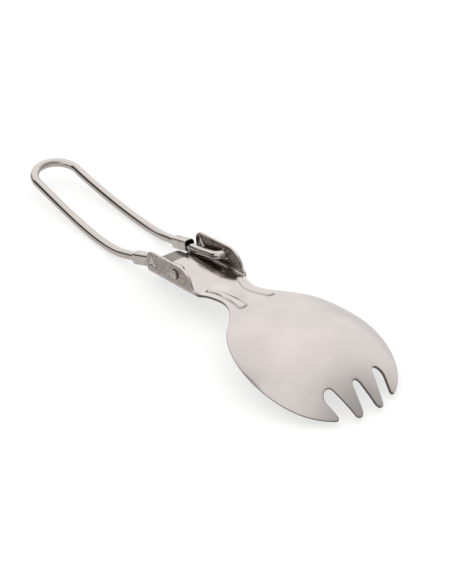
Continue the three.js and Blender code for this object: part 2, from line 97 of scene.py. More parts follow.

# Painted shade and rubbing: a bead's shade line in half widths of the bead, a bump's shadow line in widths of
# its step, and shares
CREASE_PLACE = 0.9
STEP_SHADOW_PLACE = -0.5
STEP_SHADOW_REACH = 1.5
STEP_SHADOW_FADE = 0.3
STEP_SHADOW = 0.9
LIP_SHADE = 0.6
EDGE_SHADE = 0.85
BUMP_RUB = 0.9
BUMP_RUB_EDGE = 0.25

# Spacing of the wire's rings, and a pin's peened end as shares of its length and of its radius
BAR_STEP = 1 * MM
LEG_STEP = 1.5 * MM
LOOP_STEPS = 24
WIRE_SIDES = 28
PEENED_END = ((0, 0.3), (0.05, 0.55), (0.14, 0.76), (0.28, 0.9), (0.45, 0.97), (0.65, 1), (1, 0.94))

# Least inside corner of a sleeve, and the least angle of the edges that its bevel rounds
INNER_CORNER = 0.3 * MM
BEVEL_ANGLE = math.radians(50)

# Studio in metres, the share of the floor's own glow, and the camera's sensor in mm
FLOOR_HALF = 3
FLOOR_GAP = 0.02 * MM
FLOOR_GLOW = 0.65
SOFTBOX_SIZE = 1.2
SOFTBOX_PLACE = Vector((-0.5, 0.4, 1.1))
SENSOR_WIDTH = 36


def length(description, millimetres):
    """A length property whose default is given in millimetres."""
    return FloatProperty(description=description, default=millimetres * MM, subtype="DISTANCE", precision=5)


def angle(description, degrees):
    """An angle property whose default is given in degrees."""
    return FloatProperty(description=description, default=math.radians(degrees), subtype="ANGLE")


def share(description, value):
    """A property that is a share of something."""
    return FloatProperty(description=description, default=value, min=0, max=1, subtype="FACTOR")


def number(description, value):
    """A property that is a plain number, such as a level of light."""
    return FloatProperty(description=description, default=value)


def linear(hex_code):
    """An sRGB hex code as linear RGBA."""
    channels = [int(hex_code[i:i + 2], 16) / 255 for i in (1, 3, 5)]
    return [c / 12.92 if c <= 0.04045 else ((c + 0.055) / 1.055) ** 2.4 for c in channels] + [1]


def colour(description, hex_code):
    """A colour property whose default is given as an sRGB hex code."""
    value = linear(hex_code)
    return FloatVectorProperty(description=description, default=value, size=4, min=0, max=1, subtype="COLOR")


def named(group):
    """Gives each property of a group a name made from its identifier."""
    for identifier, deferred in group.__annotations__.items():
        deferred.keywords["name"] = identifier.replace("_", " ").capitalize()
    return group


@named
class SporkHeadSizes(bpy.types.PropertyGroup):
    """Sizes of the stamped head, along the sheet from the pivot axis."""

    pitch: angle("How far the bowl's end is lifted about the pivot", 7.25)
    pivot_height: length("Pivot axis above the underside of the channel", 4.1344)
    thickness: length("Thickness of the sheet", 0.8)
    edge_round: length("Rounding that tumbling leaves on the cut edges", 0.16)
    channel_width: length("Outside of one flange to the outside of the other", 18)
    flange_height: length("Top of the flanges above the channel's underside", 7.09)
    flange_rear: length("Pivot to the rear end of the flanges", 13.5)
    flange_front: length("Pivot to the front foot of the flanges", 7.65)
    flange_rear_radius: length("Round upper corner at the rear of a flange", 2.8)
    nose_length: length("Length of the rounded front of a flange", 5.6)
    foot_height: length("Front foot of a flange above the channel floor", 0.3)
    foot_run: length("How far the foot's edge runs forward before it turns in", 0.5)
    foot_drop: length("How far the foot's edge falls before it turns in", 1.28)
    fold_radius: length("Inside radius of the fold between floor and flange", 0.6)
    floor_edge_angle: angle("Slope of the crowned floor where it meets the fold", 18)
    fade_rear: length("How far behind the flange front the fold starts to open", 1.5)
    fade_front: length("How far behind the waist the fold is fully open", 1)
    lip_length: length("Length of the bent lip from its bend to the flange rear", 4.5)
    lip_reach: length("How far the lip stands out behind the flanges", 3.2)
    lip_width: length("Width of the lip behind the flanges", 8.6)
    lip_corner: length("Corner radius of the lip", 1)
    lip_angle: angle("How far the lip is bent down", 5)
    lip_bend: length("Softness of the lip's bend", 0.5)
    lip_bend_back: length("How far the bend lies behind the ends of the slits", 1.2)
    slit: length("Width of the slits beside the lip", 0.4)
    bump_depth: length("How far the detent bump stands in", 0.6)
    bump_length: length("Length of the detent bump's ledge", 3.6)
    bump_height: length("Height of the detent bump above its ledge", 3.7)
    bump_setback: length("Flange rear to the start of the bump", 1.1)
    bump_ledge: length("Height of the bump's ledge", 2.9)
    bump_peak: length("Bump's peak ahead of its rear end", 1.1)
    bump_ramp: length("Width of the bump's long rear slope", 1.6)
    bump_step: length("Width of the step at the bump's front", 0.35)
    ledge_ramp: length("Width of the step at the bump's ledge", 0.45)
    hole_radius: length("Radius of the pivot holes", 1.55)
    neck_length: length("Flange front to the narrowest place", 8.85)
    neck_width: length("Width at the narrowest place", 12.2)
    neck_cross_radius: length("Crosswise radius of the neck", 60)
    neck_dip: length("How far the middle of the sheet dips at the narrowest place", 0.9)
    bead_height: length("Height of the two pressed beads", 0.48)
    bead_width: length("Width of a bead at its front", 3)
    bead_rear_reach: length("Waist to the rear end of a bead", 6.9)
    bead_front_reach: length("Waist to the front end of a bead", 9.2)
    bead_waist: length("Distance between the beads at the waist", 7.2)
    bead_rear_spread: length("How far a bead's rear end swings out", 2.2)
    bead_front_spread: length("How far a bead's front end swings out", 1.6)
    bead_crown: share("Flat share of a bead's width", 0.4)
    bead_taper: share("How much narrower a bead's rear is", 0.4)
    # Width of the painted shade line in a bead's crease
    crease: share("Grime line's share of a bead's half width", 0.2)
    waist_rear_pull: length("Straightness of the edge behind the waist", 3.3)
    waist_front_pull: length("Straightness of the edge ahead of the waist", 4.3)
    shoulder_length: length("Waist to the shoulder", 13)
    shoulder_width: length("Width at the shoulder", 27.6)
    shoulder_angle: angle("Slant of the edge at the shoulder", 52.5)
    shoulder_rear_pull: length("Straightness behind the shoulder", 5.2)
    shoulder_front_pull: length("Straightness ahead of the shoulder", 4.4)
    shoulder_cross_radius: length("Crosswise radius at the shoulder", 40)
    bowl_width: length("Widest place of the bowl", 40.8)
    bowl_rear: length("Shoulder to the widest place", 18.3)
    bowl_front: length("Widest place to the inner tips", 22.2)
    crest_rise: length("Bowl's crest above the channel's crown", 0.6)
    widest_rear_pull: length("Straightness behind the widest place", 7.3)
    widest_front_pull: length("Straightness ahead of the widest place", 7.1)
    tine_cross_radius: length("Crosswise radius at the tips", 19.5)
    nose_run: length("Length over which the bowl dives to the tips", 28.2)
    nose_drop: length("How far the tips lie below the crest", 15.58)
    nose_power: number("How late the dive steepens", 2.2)
    inner_tine_spacing: length("Distance between the inner tips", 6.8)
    inner_tip_radius: length("Round of the inner tips", 1.25)
    outer_tine_spacing: length("Distance between the outer tips", 18.8)
    outer_tip_radius: length("Round of the outer tips", 0.6)
    outer_tine_setback: length("Outer tips behind the inner ones", 2.1)
    outer_pull_back: length("Outer edge's lean behind the outer tip", 4)
    outer_pull_out: length("Outer edge's lean outside the outer tip", 8.2)
    outer_edge_angle: angle("Where the outer edge meets the outer tip's round", 35)
    outer_flank_angle: angle("Slant of the side slot's outer flank", 76)
    inner_flank_angle: angle("Slant of the side slot's inner flank", 72)
    middle_flank_angle: angle("Slant of the middle slot's flanks", 78)
    middle_slot_radius: length("Round end of the middle slot", 1.25)
    middle_slot_depth: length("Depth of the middle slot", 6.3)
    side_slot_radius: length("Round end of the side slots", 1.65)
    side_slot_depth: length("Depth of the side slots from the inner tips", 7.85)
    side_slot_spacing: length("Distance between the side slots' ends", 16.4)


@named
class SporkWireSizes(bpy.types.PropertyGroup):
    """Sizes of the bent wire, back from the pivot axis."""

    pitch: angle("How far the wire's loop hangs below the pivot", 15)
    diameter: length("Wire diameter", 2.7)
    pin_end: length("Middle of the part to the end of a pin", 9.9)
    peen_radius: length("Radius of the pin's peened end", 1.45)
    peen_length: length("Length of the pin's peened end", 0.75)
    bar_offset: length("Middle of the part to a bar's centre line", 6.05)
    bar_bend: length("Bend radius between pin and bar", 2.15)
    splay_start: length("Pivot to where the legs begin to spread", 9.5)
    splay_angle: angle("How far each leg is spread", 4.6)
    splay_bend: length("Softness of that bend", 1.5)
    leg_length: length("Length of the straight leg", 18.34)
    curve_length: length("Straight leg to the loop's end", 44.5)
    curve_rise: length("Rise of the legs on that length", 14.3)
    curve_start_pull: length("Straightness where the curve starts", 11)
    curve_end_pull: length("Straightness where the curve ends", 15)
    loop_angle: angle("Slope of the loop's end", 24.6)
    loop_spacing: length("Distance between the legs at the loop's end", 14.3)
    loop_length: length("Length of the loop's round end", 7.05)


@named
class SporkSleeveSizes(bpy.types.PropertyGroup):
    """Sizes of the lock sleeves, across the leg."""

    length: length("Length along the leg", 7.8)
    width: length("Outside width", 3.3)
    height: length("Outside height", 3.7)
    wall: length("Thickness of the folded strip", 0.25)
    corner: length("Outside corner radius", 1.1)
    tip: angle("How far the loose sleeve tips up in front", 4)
    seam: length("Gap where the strip's edges meet", 0.18)
    edge_round: length("Rounding of the cut edges", 0.07)


@named
class SporkFinish(bpy.types.PropertyGroup):
    """Colours of the steels, of the painted shade on the head, and of the floor."""

    sheet: colour("Tumbled sheet of the bowl", "#b8b1ae")
    sheet_dull: colour("Faint duller patches of the sheet", "#aca5a1")
    # Scuffed and smudged flange steel; the dark smudge colour also stands as painted dark reflection of the
    # shaded floor
    flange: colour("Scuffed sides of the hinge channel", "#aba39b")
    flange_smudge_and_shade: colour("Smudges on the flanges", "#645c56")
    wire: colour("Drawn and polished wire", "#b6b0ab")
    wire_dull: colour("Fine streaks along the wire", "#a29a94")
    sleeve: colour("Folded strip of the sleeves", "#b2aba6")
    sleeve_dull: colour("Smudges on the sleeves", "#99928c")
    # Painted shade: the beads' creases, the bump's step and the lip are darkened with it, and the sheared
    # edges of the bowl as painted dark reflection
    grime: colour("Grime in the creases, and the sheared edges of the bowl", "#4a443f")
    floor: colour("White paper floor", "#f6f5f4")


@named
class SporkStage(bpy.types.PropertyGroup):
    """Camera and light of the studio."""

    aim: FloatVectorProperty(
        description="Where the camera looks", default=(0.00892, 0.00584, 0), subtype="TRANSLATION"
    )
    distance: length("Camera to aim", 463.9)
    azimuth: angle("Camera's turn round the part", 52.33)
    elevation: angle("Camera's height above the floor", 33.3)
    lens: FloatProperty(
        description="Focal length in mm on a 36 mm wide frame", default=131.4, subtype="DISTANCE_CAMERA"
    )
    hem_low: angle("Elevation where the tent's hem starts to brighten", 10)
    hem_high: angle("Elevation where the tent is fully bright", 24)
    gap_turn: angle("Direction of the dark gap, from +X", 245)
    gap_full: angle("Half width in which the gap is fully dark", 52)
    gap_end: angle("Half width at which the gap has closed", 63)
    flap_turn: angle("Direction of the lifted flap, from +X", 236)
    flap_full: angle("Half width in which the flap is fully lifted", 8)
    flap_end: angle("Half width at which the flap is down again", 26)
    flap_lift: number("How far the flap is lifted, as a sine", 0.44)
    dark_level: share("Share of light below the hem", 0.05)
    rear_level: number("Light of the tent over the handle", 1.95)
    front_level: number("Light of the tent over the tines", 0.7)
    dim_turn: angle("Direction in which the tent dims, from +X", 15)
    dim_start: number("Where the tent starts to dim, as a cosine from there", 0.15)
    dim_end: number("Where the tent is dimmest, as a cosine from there", 0.8)
    top_power: FloatProperty(description="Power of the top softbox in watts", default=0.8, subtype="POWER")


# Helpers for nodes, meshes and curves


def add_node(tree, kind, inputs=(), **settings):
    """Adds a node, sets its properties, and sets or links its inputs, given by name or in order. A node as an
    input stands for its first output in use."""
    node = tree.nodes.new(kind)
    for name, value in settings.items():
        setattr(node, name, value)
    for name, value in inputs.items() if isinstance(inputs, dict) else enumerate(inputs):
        if isinstance(value, bpy.types.Node):
            value = next(output for output in value.outputs if output.enabled)
        if isinstance(value, bpy.types.NodeSocket):
            tree.links.new(value, node.inputs[name])
        else:
            node.inputs[name].default_value = value
    return node


def emptied_tree(owner):
    """Clears the nodes of a material or world, and gives add_node for its tree."""
    owner.use_nodes = True
    owner.node_tree.nodes.clear()
    return partial(add_node, owner.node_tree)


def new_piece(name, points, faces, material):
    """A smooth mesh object from points and faces, with its normals out."""
    mesh = bpy.data.meshes.new(name)
    mesh.from_pydata([tuple(p) for p in points], [], faces)
    work = bmesh.new()
    work.from_mesh(mesh)
    bmesh.ops.recalc_face_normals(work, faces=work.faces)
    work.to_mesh(mesh)
    work.free()
    mesh.shade_smooth()
    mesh.materials.append(material)
    return new_object(name, mesh)


def new_object(name, data):
    """An object of the scene."""
    made = bpy.data.objects.new(name, data)
    bpy.context.scene.collection.objects.link(made)
    return made


def smooth_step(value, low, high):
    """Zero below low, one above high, and a smooth rise between."""
    t = min(max((value - low) / (high - low), 0), 1)
    return t * t * (3 - 2 * t)


def bezier(p0, p1, p2, p3, steps):
    """Points along a cubic curve, without its first point."""
    a, b, c, d = (Vector(p) for p in (p0, p1, p2, p3))
    shares = [k / steps for k in range(1, steps + 1)]
    return [
        a * (1 - t) ** 3 + b * (3 * t * (1 - t) ** 2) + c * (3 * t * t * (1 - t)) + d * t ** 3 for t in shares
    ]


def arc(x, y, radius, start, end, steps):
    """Points along a round, both ends included."""
    turns = [start + (end - start) * k / steps for k in range(steps + 1)]
    return [Vector((x + radius * math.cos(a), y + radius * math.sin(a))) for a in turns]


def straight(start, end, step):
    """Points along a line, without its first point."""
    a, b = Vector(start), Vector(end)
    count = max(1, round((b - a).length / step))
    return [a.lerp(b, k / count) for k in range(1, count + 1)]


# Materials


def bare_steel(node, base, roughness, relief, strength, depth):
    """The end of each steel: bare metal of a colour and roughness, with a fine relief."""
    bump = node("ShaderNodeBump", {"Height": relief, "Strength": strength, "Distance": depth})
    metal = {"Base Color": base, "Metallic": 1, "Roughness": roughness, "Normal": bump}
    node("ShaderNodeOutputMaterial", {"Surface": node("ShaderNodeBsdfPrincipled", metal)})


def tumbled_stainless_sheet(finish):
    """Stainless sheet, stamped and tumbled with fine stones: an even warm satin with blurred reflections and
    faint duller patches. The channel and neck are burnished by the forming die, which leaves smudges on the
    flanges; the smudges are darkened further as painted dark reflection. The cut edges are coarser. Painted
    shade darkens the creases, the bump's step and the lip, and painted dark reflection the bowl's sheared
    edges."""
    material = bpy.data.materials.new("tumbled_stainless_sheet")
    node = emptied_tree(material)
    place = node("ShaderNodeTexCoord").outputs["Object"]
    flange, cut, burnished, grime = (
        node("ShaderNodeAttribute", attribute_name=name).outputs["Fac"] for name in SHEET_MARKS
    )
    # Dull patches are 7 mm wide on the bowl and 0.7 mm on the flanges
    patch = node("ShaderNodeTexNoise", {"Vector": place, "Scale": 1 / (7 * MM), "Detail": 4})
    smudge = node(
        "ShaderNodeTexNoise", {"Vector": place, "Scale": 1 / (0.7 * MM), "Detail": 6, "Roughness": 0.7}
    )
    smudged = node("ShaderNodeMapRange", {"Value": smudge, "From Min": 0.38, "From Max": 0.64})
    # Tumbling pits are a tenth of this, drawn 0.35 mm wide so that they show
    pits = node("ShaderNodeTexNoise", {"Vector": place, "Scale": 1 / (0.35 * MM), "Detail": 3})

    bowl = node(
        "ShaderNodeMix", {"Factor": patch, "A": finish.sheet, "B": finish.sheet_dull}, data_type="RGBA"
    )
    # The flanges' smudges, darkened as painted dark reflection as well
    side = node(
        "ShaderNodeMix", {"Factor": smudged, "A": finish.flange, "B": finish.flange_smudge_and_shade}, data_type="RGBA"
    )
    steel = node("ShaderNodeMix", {"Factor": flange, "A": bowl, "B": side}, data_type="RGBA")
    # Painted shade: the creases, the bump's step, the lip and the bowl's sheared edges are mixed towards the
    # dark colour
    shaded_steel = node("ShaderNodeMix", {"Factor": grime, "A": steel, "B": finish.grime}, data_type="RGBA")
    # Roughness is 0.27 to 0.32, 0.1 more on the cut edges and 0.12 less where the sheet is burnished
    satin = node("ShaderNodeMapRange", (patch, *NOISE_SPAN, 0.27, 0.32))
    coarser = node("ShaderNodeMath", (cut, 0.1, satin), operation="MULTIPLY_ADD")
    finer = node("ShaderNodeMath", (burnished, -0.12, coarser), operation="MULTIPLY_ADD")
    bare_steel(node, shaded_steel, finer, pits, strength=0.06, depth=0.02 * MM)
    return material


def drawn_stainless_wire(finish):
    """Stainless wire, drawn through a die and polished: sharp long highlights, with fine streaks along it.
    The hammered pin ends are duller."""
    material = bpy.data.materials.new("drawn_stainless_wire")
    node = emptied_tree(material)
    rod = node("ShaderNodeAttribute", attribute_name="rod").outputs["Vector"]
    peened = node("ShaderNodeAttribute", attribute_name="peened").outputs["Fac"]
    # Drawing streaks are 12 mm long and 0.25 mm wide
    scale = (1 / (12 * MM), 1 / (0.25 * MM), 1 / (0.25 * MM))
    stretched = node("ShaderNodeMapping", {"Vector": rod, "Scale": scale})
    streaks = node("ShaderNodeTexNoise", {"Vector": stretched, "Scale": 1, "Detail": 4})
    steel = node(
        "ShaderNodeMix", {"Factor": streaks, "A": finish.wire, "B": finish.wire_dull}, data_type="RGBA"
    )
    hammered = node("ShaderNodeMix", {"Factor": peened, "A": steel, "B": finish.flange}, data_type="RGBA")
    # Roughness is 0.07 to 0.12, and 0.25 more on the hammered ends
    polish = node("ShaderNodeMapRange", (streaks, *NOISE_SPAN, 0.07, 0.12))
    coarser = node("ShaderNodeMath", (peened, 0.25, polish), operation="MULTIPLY_ADD")
    bare_steel(node, hammered, coarser, streaks, strength=0.05, depth=0.01 * MM)
    return material


def folded_stainless_strip(finish):
    """Thin stainless strip, folded round the wire: half bright, smudged, with rub marks from sliding."""
    material = bpy.data.materials.new("folded_stainless_strip")
    node = emptied_tree(material)
    place = node("ShaderNodeTexCoord").outputs["Object"]
    # Smudges are 1.2 mm wide, and rub marks run 5 mm along the leg and 0.2 mm across it
    smudge = node(
        "ShaderNodeTexNoise", {"Vector": place, "Scale": 1 / (1.2 * MM), "Detail": 5, "Roughness": 0.6}
    )
    smudged = node("ShaderNodeMapRange", {"Value": smudge, "From Min": 0.42, "From Max": 0.68})
    scale = (1 / (5 * MM), 1 / (0.2 * MM), 1 / (0.2 * MM))
    stretched = node("ShaderNodeMapping", {"Vector": place, "Scale": scale})
    rubbed = node("ShaderNodeTexNoise", {"Vector": stretched, "Scale": 1, "Detail": 3})
    steel = node(
        "ShaderNodeMix", {"Factor": smudged, "A": finish.sleeve, "B": finish.sleeve_dull}, data_type="RGBA"
    )
    # Roughness is 0.07 to 0.13
    gloss = node("ShaderNodeMapRange", (rubbed, *NOISE_SPAN, 0.07, 0.13))
    bare_steel(node, steel, gloss, rubbed, strength=0.06, depth=0.01 * MM)
    return material


def white_studio_paper(finish):
    """Matt white studio paper: it glows a little to eye and metal alike, so that shadows stay pale."""
    material = bpy.data.materials.new("white_studio_paper")
    node = emptied_tree(material)
    paths = node("ShaderNodeLightPath").outputs
    seen = paths["Is Camera Ray"]
    for ray in ("Is Glossy Ray", "Is Transmission Ray"):
        seen = node("ShaderNodeMath", (seen, paths[ray]), operation="ADD")
    glowing = node("ShaderNodeMath", (seen, FLOOR_GLOW), operation="MULTIPLY", use_clamp=True)
    paper = node("ShaderNodeBsdfDiffuse", {"Color": finish.floor})
    glow = node("ShaderNodeEmission", {"Strength": 1})
    node("ShaderNodeOutputMaterial", {"Surface": node("ShaderNodeMixShader", (glowing, paper, glow))})
    return material


# Stamped head


class StampedForm:
    """The head's sheet: x along it from the pivot, s across it along the sheet, and on up the flange."""

    def __init__(self, sizes):
        self.sizes = sizes
        self.waist_x = sizes.flange_front + sizes.neck_length
        self.shoulder_x = self.waist_x + sizes.shoulder_length
        self.widest_x = self.shoulder_x + sizes.bowl_rear
        self.tip_x = self.widest_x + sizes.bowl_front
        self.crest_x = self.tip_x - sizes.nose_run
        self.lip_x = sizes.lip_length - sizes.flange_rear
        self.bend_x = self.lip_x - sizes.lip_bend_back
        self.flat_x = self.waist_x - sizes.bead_rear_reach
        inner_half = sizes.channel_width / 2 - sizes.thickness
        self.floor_half = inner_half - sizes.fold_radius * (1 + math.sin(sizes.floor_edge_angle))
        self.slit_y = self.floor_half - sizes.slit / 2
        self.floor_camber = math.tan(sizes.floor_edge_angle) / (2 * self.floor_half)
        self.crown = sizes.thickness + self.floor_camber * self.floor_half ** 2
        self.fold_arc = sizes.fold_radius * (math.pi / 2 + sizes.floor_edge_angle)
        self.fold_end = self.floor_half + self.fold_arc
        fold_top = sizes.thickness + sizes.fold_radius * math.cos(sizes.floor_edge_angle)
        self.flange_offset = self.fold_end - fold_top
        self.flange_top = sizes.flange_height + self.flange_offset
        self.camber_stations = [
            (sizes.flange_front, self.floor_camber),
            (self.waist_x, 1 / (2 * sizes.neck_cross_radius)),
            (self.shoulder_x, 1 / (2 * sizes.shoulder_cross_radius)),
            (self.tip_x, 1 / (2 * sizes.tine_cross_radius)),
        ]
        pitch = Matrix.Rotation(-sizes.pitch, 4, "Y")
        self.place = Matrix.Translation(PIVOT) @ pitch @ Matrix.Translation((0, 0, -sizes.pivot_height))

    def spine(self, x):
        """Height of the top along the middle."""
        sizes = self.sizes
        lift = sizes.crest_rise * smooth_step(x, sizes.flange_front, self.crest_x)
        dive = sizes.nose_drop * (max(x - self.crest_x, 0) / sizes.nose_run) ** sizes.nose_power
        dip = smooth_step(x, sizes.flange_front, self.waist_x)
        dip -= smooth_step(x, self.waist_x, self.shoulder_x)
        return self.crown + lift - dive - sizes.neck_dip * dip

    def camber(self, x):
        """Crosswise camber: the top falls by this times the distance from the middle squared."""
        stations = self.camber_stations
        last = len(stations) - 1
        if x <= stations[0][0]:
            return stations[0][1]
        if x >= stations[last][0]:
            return stations[last][1]
        i = next(k for k in range(last, -1, -1) if stations[k][0] <= x)

        def slope(k):
            (x0, v0), (x1, v1) = stations[max(k - 1, 0)], stations[min(k + 1, last)]
            return (v1 - v0) / (x1 - x0)

        (x0, v0), (x1, v1) = stations[i], stations[i + 1]
        span = x1 - x0
        t = (x - x0) / span
        rise = v0 + (v1 - v0) * t * t * (3 - 2 * t)
        return rise + span * t * (1 - t) * (slope(i) * (1 - t) - slope(i + 1) * t)

    def bead_place(self, x, y):
        """Distance from the middle line of the nearer bead, and past its end, both in half widths."""
        sizes = self.sizes
        half = sizes.bead_width / 2
        rear_half = half * (1 - sizes.bead_taper)
        rear_end = rear_half - sizes.bead_rear_reach
        front_end = sizes.bead_front_reach - half
        ahead = x - self.waist_x
        held = min(max(ahead, rear_end), front_end)
        half = rear_half + (half - rear_half) * (held - rear_end) / (front_end - rear_end)
        reach, spread = sizes.bead_front_reach, sizes.bead_front_spread
        if held < 0:
            reach, spread = sizes.bead_rear_reach, sizes.bead_rear_spread
        middle = sizes.bead_waist / 2 + spread * (held / reach) ** 2
        return math.hypot(abs(y) - middle, ahead - held) / half, abs(ahead - held) / half

    def bead(self, x, y):
        """Height of the two beads that follow the waist: round ends, narrower at the rear."""
        offset, _ = self.bead_place(x, y)
        return self.sizes.bead_height * (1 - smooth_step(offset, self.sizes.bead_crown, 1))

    def crease(self, x, y):
        """Painted shade round a bead's foot: a thin line, heavier round its ends."""
        offset, past = self.bead_place(x, y)
        weight = (1 + min(past, 1)) / 2
        return weight * max(1 - abs(offset - CREASE_PLACE) / (2 * weight * self.sizes.crease), 0)

    def bump_sides(self, x, z):
        """How far a place lies inside the bump's ledge, front and rear sides, in widths of their slopes."""
        sizes = self.sizes
        rear = x + sizes.flange_rear - sizes.bump_setback
        up = z - sizes.bump_ledge
        front_run = sizes.bump_length - sizes.bump_peak
        front_inside = front_run * (sizes.bump_height - up) - sizes.bump_height * (rear - sizes.bump_peak)
        rear_inside = sizes.bump_height * rear - sizes.bump_peak * up
        return (
            up / sizes.ledge_ramp,
            front_inside / math.hypot(front_run, sizes.bump_height) / sizes.bump_step,
            rear_inside / math.hypot(sizes.bump_peak, sizes.bump_height) / sizes.bump_ramp,
        )

    def bump_crease(self, x, z):
        """Painted shadow along the step at the bump's front."""
        ledge, front, rear = self.bump_sides(x, z)
        line = max(1 - abs(front - STEP_SHADOW_PLACE) / STEP_SHADOW_REACH, 0)
        return line * smooth_step(min(ledge, rear), 0, STEP_SHADOW_FADE)

    def bump(self, x, z):
        """Depth of the detent bump: a long slope at the rear, and steps at its ledge and front."""
        return self.sizes.bump_depth * smooth_step(min(self.bump_sides(x, z)), 0, 1)

    def point(self, x, s, pressed=1):
        """The sheet's top at x and s in the head's own frame, with or without its pressed beads and bumps."""
        sizes = self.sizes
        across = abs(s)
        fold = 1 - smooth_step(x, sizes.flange_front - sizes.fade_rear, self.waist_x - sizes.fade_front)
        flat = min(across, self.floor_half) if fold > 0 else across
        camber = self.camber(x)
        y = flat
        z = self.spine(x) - camber * flat ** 2 + pressed * self.bead(x, flat)
        if across < self.slit_y:
            behind = self.bend_x - x
            bent = (behind + math.hypot(behind, sizes.lip_bend) - sizes.lip_bend) / 2
            z -= max(bent, 0) * math.tan(sizes.lip_angle)
        if across > flat:
            start = -math.atan(2 * camber * self.floor_half)
            turn = fold * (math.pi / 2 - start)
            bent = min(across - flat, sizes.fold_radius * turn)
            end = start + bent / sizes.fold_radius
            rest = across - flat - bent
            y += sizes.fold_radius * (math.sin(end) - math.sin(start)) + rest * math.cos(end)
            z += sizes.fold_radius * (math.cos(start) - math.cos(end)) + rest * math.sin(end)
            y -= pressed * self.bump(x, z)
        return Vector((x, math.copysign(y, s), z))

    def normal(self, x, s):
        """The sheet's upward normal without its beads and bumps, which are pressed straight through."""
        along = self.point(x + SLOPE_STEP, s, 0) - self.point(x - SLOPE_STEP, s, 0)
        crosswise = self.point(x, s + SLOPE_STEP, 0) - self.point(x, s - SLOPE_STEP, 0)
        return along.cross(crosswise).normalized()

    def marks(self, x, s, z):
        """Shares of the sheet's finishes and painted shade at a place, in the order of SHEET_MARKS."""
        sizes = self.sizes
        across = abs(s)
        # Painted shade: the lip between the flanges, under the wire, is darkened
        lip = float(across < self.slit_y) * (1 - smooth_step(x, self.bend_x - sizes.lip_bend, self.bend_x))
        # Share of the flange colours with their painted dark reflection, less where the bump is rubbed
        flange = smooth_step(across, self.floor_half, self.floor_half + 2 * self.fold_arc)
        flange *= 1 - smooth_step(x, sizes.flange_front, self.flat_x)
        flange *= 1 - BUMP_RUB * smooth_step(min(self.bump_sides(x, z)), 0, BUMP_RUB_EDGE)
        flange = max(flange, lip)
        burnished = (1 - smooth_step(x, self.waist_x, self.shoulder_x)) * (1 - flange)
        # Painted shadow: a dark line along the bump's step on the flanges
        step_shadow = STEP_SHADOW * self.bump_crease(x, z) * float(across > self.floor_half)
        return flange, 0, burnished, max(self.crease(x, s), LIP_SHADE * lip, step_shadow)

    def channel_outline(self):
        """The blank's edge in x and s from the middle of the rear lip to the front foot of a flange."""
        sizes = self.sizes
        rear = -sizes.flange_rear
        lip_half = sizes.lip_width / 2
        slit_end = self.lip_x - sizes.slit / 2
        edge = arc(
            rear - sizes.lip_reach + sizes.lip_corner, lip_half - sizes.lip_corner, sizes.lip_corner,
            math.pi, math.pi / 2, steps=6,
        )
        slit_inner = self.floor_half - sizes.slit
        for end in ((rear, lip_half), (rear, slit_inner), (slit_end, slit_inner)):
            edge += straight(edge[-1], end, EDGE_STEP)
        edge += arc(slit_end, self.slit_y, sizes.slit / 2, -math.pi / 2, math.pi / 2, steps=6)[1:]
        edge += straight(edge[-1], (rear, self.floor_half), EDGE_STEP)
        edge += straight(edge[-1], (rear, self.fold_end), FOLD_END_STEP)

        top = self.flange_top
        corner = (rear + sizes.flange_rear_radius, top - sizes.flange_rear_radius)
        edge += straight(edge[-1], (rear, corner[1]), EDGE_STEP)
        edge += arc(*corner, sizes.flange_rear_radius, math.pi, math.pi / 2, steps=10)[1:]
        nose_x = sizes.flange_front - sizes.nose_length
        edge += straight(edge[-1], (nose_x, top), EDGE_STEP)
        foot = self.crown + sizes.foot_height + self.flange_offset
        return edge + bezier(
            (nose_x, top), ((nose_x + sizes.flange_front) / 2, top),
            (sizes.flange_front, (foot + top) / 2), (sizes.flange_front, foot), steps=16,
        )

    def bowl_outline(self, foot):
        """The edge from a flange's front foot round the neck and shoulder to the bowl's widest place."""
        sizes = self.sizes
        waist = Vector((self.waist_x, sizes.neck_width / 2))
        shoulder = Vector((self.shoulder_x, sizes.shoulder_width / 2))
        slant = Vector((math.cos(sizes.shoulder_angle), math.sin(sizes.shoulder_angle)))
        widest = Vector((self.widest_x, sizes.bowl_width / 2))
        edge = bezier(
            foot, foot + Vector((sizes.foot_run, -sizes.foot_drop)),
            waist - Vector((sizes.waist_rear_pull, 0)), waist, steps=26,
        )
        edge += bezier(
            waist, waist + Vector((sizes.waist_front_pull, 0)),
            shoulder - slant * sizes.shoulder_rear_pull, shoulder, steps=28,
        )
        return edge + bezier(
            shoulder, shoulder + slant * sizes.shoulder_front_pull,
            widest - Vector((sizes.widest_rear_pull, 0)), widest, steps=36,
        )

    def tine_outline(self, widest):
        """The edge from the bowl's widest place round two tines to the middle slot."""
        sizes = self.sizes
        outer_x = self.tip_x - sizes.outer_tine_setback - sizes.outer_tip_radius
        outer = Vector((outer_x, sizes.outer_tine_spacing / 2))
        tip = arc(*outer, sizes.outer_tip_radius, sizes.outer_edge_angle, -sizes.outer_flank_angle, steps=8)
        edge = bezier(
            widest, widest + Vector((sizes.widest_front_pull, 0)),
            outer + Vector((-sizes.outer_pull_back, sizes.outer_pull_out)), tip[0], steps=44,
        )
        edge += tip[1:]
        side = arc(
            self.tip_x - sizes.side_slot_depth + sizes.side_slot_radius, sizes.side_slot_spacing / 2,
            sizes.side_slot_radius, sizes.outer_flank_angle, math.pi + sizes.inner_flank_angle, steps=14,
        )
        inner = arc(
            self.tip_x - sizes.inner_tip_radius, sizes.inner_tine_spacing / 2, sizes.inner_tip_radius,
            sizes.inner_flank_angle, -sizes.middle_flank_angle, steps=12,
        )
        middle = arc(
            self.tip_x - sizes.middle_slot_depth + sizes.middle_slot_radius, 0, sizes.middle_slot_radius,
            math.pi - sizes.middle_flank_angle, math.pi, steps=8,
        )
        for stretch in (side, inner, middle):
            edge += straight(edge[-1], stretch[0], EDGE_STEP) + stretch[1:]
        return edge

